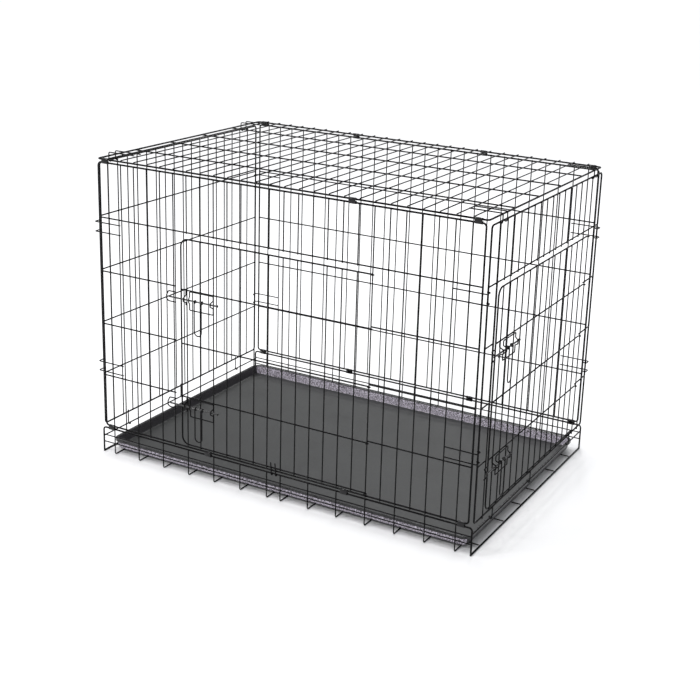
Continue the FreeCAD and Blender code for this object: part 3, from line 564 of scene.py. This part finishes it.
CLIP_WIDTH, CLIP_SHEET, CLIP_INSIDE, CLIP_LENGTH, CLIP_SEAM = 18, 1.0, 2.7, 7.53, 0.6
END_CLIP = 505
four_places = [-END_CLIP, bar_at(8.5), bar_at(18.5), END_CLIP]
CLIPS = [
    ("front_bottom", "front", front, RIM_HEIGHT, 1, four_places),
    ("front_top", "front", front, TOP_HEIGHT, -1, [-END_CLIP, bar_at(18.5), END_CLIP]),
    ("back_bottom", "back", back, RIM_HEIGHT, 1, four_places),
    ("back_top", "back", back, TOP_HEIGHT, -1, four_places),
]


def clip_section(side, start, height, way):
    """Points round two wires, from a seam on the inner side back to the seam."""
    lower, upper = sorted((height, height + way * CLIP_LENGTH))
    turns = [math.pi * step / 12 for step in range(13)]
    seam = (lower + upper) / 2
    points = [(seam + CLIP_SEAM, -CLIP_INSIDE)]
    points += [(upper + CLIP_INSIDE * math.sin(turn), -CLIP_INSIDE * math.cos(turn)) for turn in turns]
    points += [(lower - CLIP_INSIDE * math.sin(turn), CLIP_INSIDE * math.cos(turn)) for turn in turns]
    points.append((seam - CLIP_SEAM, -CLIP_INSIDE))
    return [side(start, rise, out) for rise, out in points]


def sheet_clip(side, place, height, way):
    """Strap of bent sheet round the two wires of a hinge."""
    clip = wire_line(clip_section(side, place - CLIP_WIDTH / 2, height, way))
    bpy.ops.mesh.select_all(action="SELECT")
    bpy.ops.mesh.extrude_edges_move(TRANSFORM_OT_translate={"value": (CLIP_WIDTH * MM, 0, 0)})
    bpy.ops.mesh.select_all(action="SELECT")
    bpy.ops.mesh.normals_make_consistent(inside=False)
    done_editing()
    mesh = clip.data
    middle_z = (height + way * CLIP_LENGTH / 2) * MM
    axis = side(place, 0).y
    face = mesh.polygons[0]
    outward = Vector((0, face.center.y - axis, face.center.z - middle_z))
    offset = 1.0 if face.normal.dot(outward) > 0 else -1.0
    press(clip, "SOLIDIFY", "sheet", thickness=CLIP_SHEET * MM, offset=offset, use_even_offset=True)
    edit_all()
    bpy.ops.mesh.normals_make_consistent(inside=False)
    done_editing()
    press(clip, "BEVEL", "soft_edges", width=0.22 * MM, segments=2,
          limit_method="ANGLE", angle_limit=math.radians(50))
    return clip


for name, body, side, height, way, places in CLIPS:
    strap = sheet_clip(side, places[0], height, way)
    at_spots(strap, [side(place, 0) for place in places])
    shade(strap, 45)
    fit(strap, f"{name}_hinge_straps", body, clip_coat, [f"{name}_clips"])


# ---- tray -----------------------------------------------------------------------

TRAY_TOP, TRAY_FLOOR, TRAY_CORNER, TRAY_LIP, TRAY_WALL = 34, 9.3, 25, 8, 3
TRAY_SKIRT = 7


def moulded_tray():
    """Sheet of plastic with a flat rim, sloping walls and a flat floor."""
    low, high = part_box("tray")
    clear_selection()
    centre = ((low.x + high.x) / 2, (low.y + high.y) / 2, TRAY_TOP * MM)
    bpy.ops.mesh.primitive_plane_add(size=1, location=centre)
    piece = bpy.context.object
    piece.scale = (high.x - low.x, high.y - low.y, 1)
    bpy.ops.object.transform_apply(location=True, rotation=True, scale=True)
    edit_all()
    bpy.ops.mesh.bevel(offset=TRAY_CORNER * MM, segments=10, affect="VERTICES")
    steps = [(0.9, 0.0), (TRAY_LIP - 2.4, 0.0), (1.0, -0.3), (0.5, -0.9),
             (2.6, -(TRAY_TOP - TRAY_FLOOR - 4.2)), (0.8, -1.6), (1.6, -0.9), (2.4, -0.5)]
    for thickness, depth in steps:
        bpy.ops.mesh.select_mode(type="FACE")
        bpy.ops.mesh.inset(
            thickness=thickness * MM, depth=depth * MM, use_boundary=True, use_even_offset=True)
    bpy.ops.mesh.select_mode(type="EDGE")
    bpy.ops.mesh.select_all(action="DESELECT")
    bpy.ops.mesh.select_non_manifold()
    bpy.ops.mesh.extrude_edges_move(TRANSFORM_OT_translate={"value": (0, 0, -TRAY_SKIRT * MM)})
    done_editing()
    return piece


tray = moulded_tray()
press(tray, "SOLIDIFY", "plastic_sheet", thickness=TRAY_WALL * MM, offset=-1.0, use_even_offset=True)
press(tray, "BEVEL", "soft_rim", width=0.8 * MM, segments=3,
      limit_method="ANGLE", angle_limit=math.radians(60))
shade(tray, 40)
fit(tray, "moulded_tray", "tray", tray_floor, ["tray"])
for finish in (long_wall_painted_highlights, tray_rim, end_wall_painted_shade):
    tray.data.materials.append(finish)
# Face finishes by height and facing: rim, long walls with painted highlights, end walls with painted shade.
for face in tray.data.polygons:
    if face.center.z > (TRAY_TOP - TRAY_SKIRT - 1) * MM and abs(face.center.z - TRAY_TOP * MM) < 8 * MM:
        face.material_index = 2
    elif abs(face.normal.z) < 0.7:
        face.material_index = 1 if abs(face.normal.y) > 0.6 else 3


# ---- doors ----------------------------------------------------------------------

DOOR_LOW, DOOR_HIGH, DOOR_RAILS = 84, 620, [212, 352, 492]
BOW_HALF, BOW_FOOT, BOW_LEAN, LATCH_BEND = 4.5, 9.5, 3, 2.2
LATCH_NEAR, LATCH_FAR, LATCH_DROP, ROD_DROP = 30, 100, 47, 21
KEEPER_NEAR, KEEPER_FAR, KEEPER_HALF = 6, 14, 13
ROD_LENGTH, COLLAR, STOP, COLLAR_WIDTH, STOP_WIDTH = 146, 3.0, 3.2, 2, 3
LOOP_PLACE, LOOP_HALF, LOOP_DROP, LOOP_BEND, RING_TURN = 59.5, 10.5, 86, 10.4, 350
DOOR_BEND, DOOR_OVER, EYE_STAND_OFF = 20, 1.8, 4.15
DOORS = [
    ("front", "front", front, bar_at(6.5), hinge_post, jamb, [bar_at(index) for index in DOORWAY]),
    ("right", "right_end", right, end_bar_at(1.54), right_post, right_jamb,
     [end_bar_at(index) for index in RIGHT_DOORWAY]),
]


def bow(side, run, rod, inward=0.0):
    """Bulge of a wire past the bolt, from above it to below it."""
    return [side(run, rod + BOW_FOOT, LATCH_OUT), side(run + inward, rod + BOW_HALF, BOW_OUT),
            side(run + inward, rod - BOW_HALF, BOW_OUT), side(run, rod - BOW_FOOT, LATCH_OUT)]


def latch_frame(side, edge, rail, rod):
    near, far, low = edge + LATCH_NEAR, edge + LATCH_FAR, rail - LATCH_DROP
    points = [side((near + far) / 2, rail, LATCH_OUT), side(near, rail, LATCH_OUT)]
    points += bow(side, near, rod, BOW_LEAN)
    points += [side(near, low, LATCH_OUT), side(far, low, LATCH_OUT)]
    points += reversed(bow(side, far, rod, -BOW_LEAN))
    points.append(side(far, rail, LATCH_OUT))
    return bent_wire(points, LATCH_BEND, BAR, closed=True)


def guide(side, place, rod):
    ends = [side(place, rod + rise, BAR_OUT) for rise in (20, BOW_FOOT, -BOW_FOOT, -16)]
    return bent_wire(ends[:2] + bow(side, place, rod)[1:3] + ends[2:], LATCH_BEND, BAR)


def keeper(side, post, rod):
    near, far = post + KEEPER_NEAR, post - KEEPER_FAR
    points = [side(near, rod + KEEPER_HALF, LATCH_OUT), side(far, rod + KEEPER_HALF, LATCH_OUT)]
    points += bow(side, far, rod)[1:3]
    points += [side(far, rod - KEEPER_HALF, LATCH_OUT), side(near, rod - KEEPER_HALF, LATCH_OUT)]
    return bent_wire(points, LATCH_BEND, BAR)


def collar(side, start, length, rod, radius):
    return straight_wire(side(start, rod, ROD_OUT), side(start + length, rod, ROD_OUT), radius)


def bolt(side, edge, rod):
    """Bolt with a domed tip, two collars inside the handle's eyes and a stop."""
    tip = edge - LATCH_NEAR
    shaft = straight_wire(side(tip, rod, ROD_OUT), side(tip + ROD_LENGTH, rod, ROD_OUT), ROD)
    bpy.ops.object.mode_set(mode="EDIT")
    mesh = bmesh.from_edit_mesh(shaft.data)
    end = side(tip, rod, ROD_OUT)
    for face in mesh.faces:
        face.select = (face.calc_center_median() - end).length < TOUCHING
    mesh.select_flush_mode()
    bmesh.update_edit_mesh(shaft.data)
    bpy.ops.mesh.bevel(offset=1.7 * MM, segments=5, affect="EDGES")
    done_editing()
    inner = LOOP_HALF - EYE - 0.4
    centre = edge + LOOP_PLACE
    return [shaft, collar(side, centre - inner, COLLAR_WIDTH, rod, COLLAR),
            collar(side, centre + inner - COLLAR_WIDTH, COLLAR_WIDTH, rod, COLLAR),
            collar(side, tip + ROD_LENGTH - STOP_WIDTH, STOP_WIDTH, rod, STOP)]


def handle(side, edge, rod):
    """Long loop of wire, curled round the bolt at both its ends."""
    centre, bottom, leg = edge + LOOP_PLACE, rod - LOOP_DROP, ROD_OUT + ROD + WRAP_GAP + EYE
    points = [side(centre - LOOP_HALF, rod, leg), side(centre - LOOP_HALF, bottom, leg),
              side(centre + LOOP_HALF, bottom, leg), side(centre + LOOP_HALF, rod, leg)]
    pieces = [bent_wire(points, LOOP_BEND, BAR)]
    for way in (-1, 1):
        run = centre + way * LOOP_HALF
        hub = side(run, rod, ROD_OUT)
        spoke = side(run, rod, leg) - hub
        axis = (side(run + 1, rod) - side(run, rod)).normalized()
        pieces.append(ring(hub, spoke, axis, EYE, RING_TURN))
    return pieces


for name, panel, side, edge, post, jamb_place, places in DOORS:
    body, stop = f"{name}_door", post - EYE_STAND_OFF
    frame_points = [side(stop, DOOR_LOW, DOOR_OUT), side(edge, DOOR_LOW, DOOR_OUT),
                    side(edge, DOOR_HIGH, DOOR_OUT), side(stop, DOOR_HIGH, DOOR_OUT)]
    coat_wires(f"{name}_door_edge_wire", body, [f"{name}_door_frame"],
               [bent_wire(frame_points, DOOR_BEND, DOOR_EDGE)], wire_coat)
    coat_wires(f"{name}_door_level_wires", body, [f"{name}_door_rails"],
               [rails(side, DOOR_RAILS, edge + DOOR_EDGE - BITE, stop)], wire_coat)
    coat_wires(f"{name}_door_upright_wires", body, [f"{name}_door_bars"],
               [bars(side, places, DOOR_LOW - DOOR_OVER, DOOR_HIGH + DOOR_OVER)], wire_coat)
    levels = [DOOR_LOW, DOOR_HIGH] + DOOR_RAILS
    hub = side(post, levels[0], BAR_OUT)
    spoke = (side(post - 2.0, levels[0], BAR_OUT - 2.4) - hub).normalized() * 3.1 * MM
    eyes = at_spots(ring(hub, spoke, Vector((0, 0, 1)), EYE, RING_TURN), [side(0, level) for level in levels])
    coat_wires(f"{name}_door_hinge_eyes", body, [f"{name}_door_eyes"], [eyes], wire_coat)
    frames, guides, keepers = [], [], []
    for height, rail in (("lower", DOOR_RAILS[0]), ("upper", DOOR_RAILS[2])):
        rod = rail - ROD_DROP
        frames.append(latch_frame(side, edge, rail, rod))
        guides.append(guide(side, places[0] - 2 * BAR + BITE, rod))
        keepers.append(keeper(side, jamb_place, rod))
        coat_wires(f"{name}_{height}_bolt_rod", f"{name}_{height}_bolt",
                   [f"{name}_{height}_bolt"], bolt(side, edge, rod), bolt_coat, 0.25)
        coat_wires(f"{name}_{height}_bolt_loop", f"{name}_{height}_handle",
                   [f"{name}_{height}_handle"], handle(side, edge, rod), wire_coat)
    coat_wires(f"{name}_door_latch_wires", body, [f"{name}_door_latch_frames"], frames, wire_coat)
    coat_wires(f"{name}_door_rod_guides", body, [f"{name}_door_bolt_guides"], guides, wire_coat)
    coat_wires(f"{panel}_keepers", panel, [f"{panel}_bolt_keepers"], keepers, wire_coat)


# ---- floor, light and camera ------------------------------------------------------

def pale_floor():
    """Plain white studio floor with the faintest mottling."""
    material, nodes, links, shader, place = new_finish("white_studio_floor")
    cloud = noise(nodes, links, place, 1.5, 3.0)
    links.new(tones(nodes, links, cloud, [(0.3, (0.90, 0.90, 0.91)), (0.7, (0.93, 0.93, 0.935))]),
              shader.inputs["Base Color"])
    shader.inputs["Roughness"].default_value = 0.75
    shader.inputs["Specular IOR Level"].default_value = 0.2
    clear_selection()
    bpy.ops.mesh.primitive_plane_add(size=60, location=(0, 0, 0))
    floor = bpy.context.object
    floor.name = floor.data.name = "studio_floor"
    floor.data.materials.append(material)


def soft_light(name, location, target, width, power, tint):
    lamp = bpy.data.lights.new(name, "AREA")
    lamp.shape = "DISK"
    lamp.size = width
    lamp.energy = power
    lamp.color = tint
    holder = bpy.data.objects.new(name, lamp)
    holder.location = location
    holder.rotation_euler = (Vector(target) - Vector(location)).to_track_quat("-Z", "Y").to_euler()
    bpy.context.scene.collection.objects.link(holder)


pale_floor()
soft_light("key_softbox", (-1.6, -2.2, 2.6), (0, 0, 0.3), 0.5, 26, (1.0, 0.99, 0.98))
soft_light("back_softbox", (-0.6, 2.6, 2.6), (0, 0, 0.2), 0.6, 22, (1.0, 1.0, 1.0))
overhead = bpy.data.lights.new("overhead_scrim", "SUN")
overhead.energy, overhead.angle = 2.2, math.radians(70)
scrim = bpy.data.objects.new("overhead_scrim", overhead)
scrim.rotation_euler = Vector((-0.35, 0.12, 1)).to_track_quat("Z", "Y").to_euler()
bpy.context.scene.collection.objects.link(scrim)


def white_studio():
    """White surround: bright behind the crate, and dimmer as a source of light."""
    world = bpy.data.worlds.new("white_studio")
    world.use_nodes = True
    nodes, links = world.node_tree.nodes, world.node_tree.links
    surround = nodes["Background"]
    surround.inputs["Color"].default_value = (0.97, 0.98, 1.0, 1.0)
    surround.inputs["Strength"].default_value = 0.5
    backdrop = nodes.new("ShaderNodeBackground")
    backdrop.inputs["Color"].default_value = (1.0, 1.0, 1.0, 1.0)
    backdrop.inputs["Strength"].default_value = 1.1
    rays, blend = nodes.new("ShaderNodeLightPath"), nodes.new("ShaderNodeMixShader")
    links.new(rays.outputs["Is Camera Ray"], blend.inputs["Fac"])
    links.new(surround.outputs["Background"], blend.inputs[1])
    links.new(backdrop.outputs["Background"], blend.inputs[2])
    links.new(blend.outputs["Shader"], nodes["World Output"].inputs["Surface"])
    bpy.context.scene.world = world


white_studio()
bpy.context.scene.view_settings.view_transform = "Standard"

AZIMUTH, ELEVATION, ROLL = math.radians(27.563), math.radians(16.681), math.radians(2.257)
sideways = Vector((math.cos(AZIMUTH), math.sin(AZIMUTH), 0))
backward = Vector((math.sin(AZIMUTH) * math.cos(ELEVATION), -math.cos(AZIMUTH) * math.cos(ELEVATION),
                   math.sin(ELEVATION)))
upward = backward.cross(sideways)
camera_x = math.cos(ROLL) * sideways + math.sin(ROLL) * upward
camera_y = -math.sin(ROLL) * sideways + math.cos(ROLL) * upward
lens = bpy.data.cameras.new("studio_camera")
lens.lens, lens.sensor_width = 65.546, 36
lens.shift_x, lens.shift_y = -0.0592, -0.0930
camera = bpy.data.objects.new("studio_camera", lens)
camera.matrix_world = Matrix.Translation((1.55619, -2.75564, 1.41581)) @ Matrix(
    (camera_x, camera_y, backward)).transposed().to_4x4()
bpy.context.scene.collection.objects.link(camera)
bpy.context.scene.camera = camera
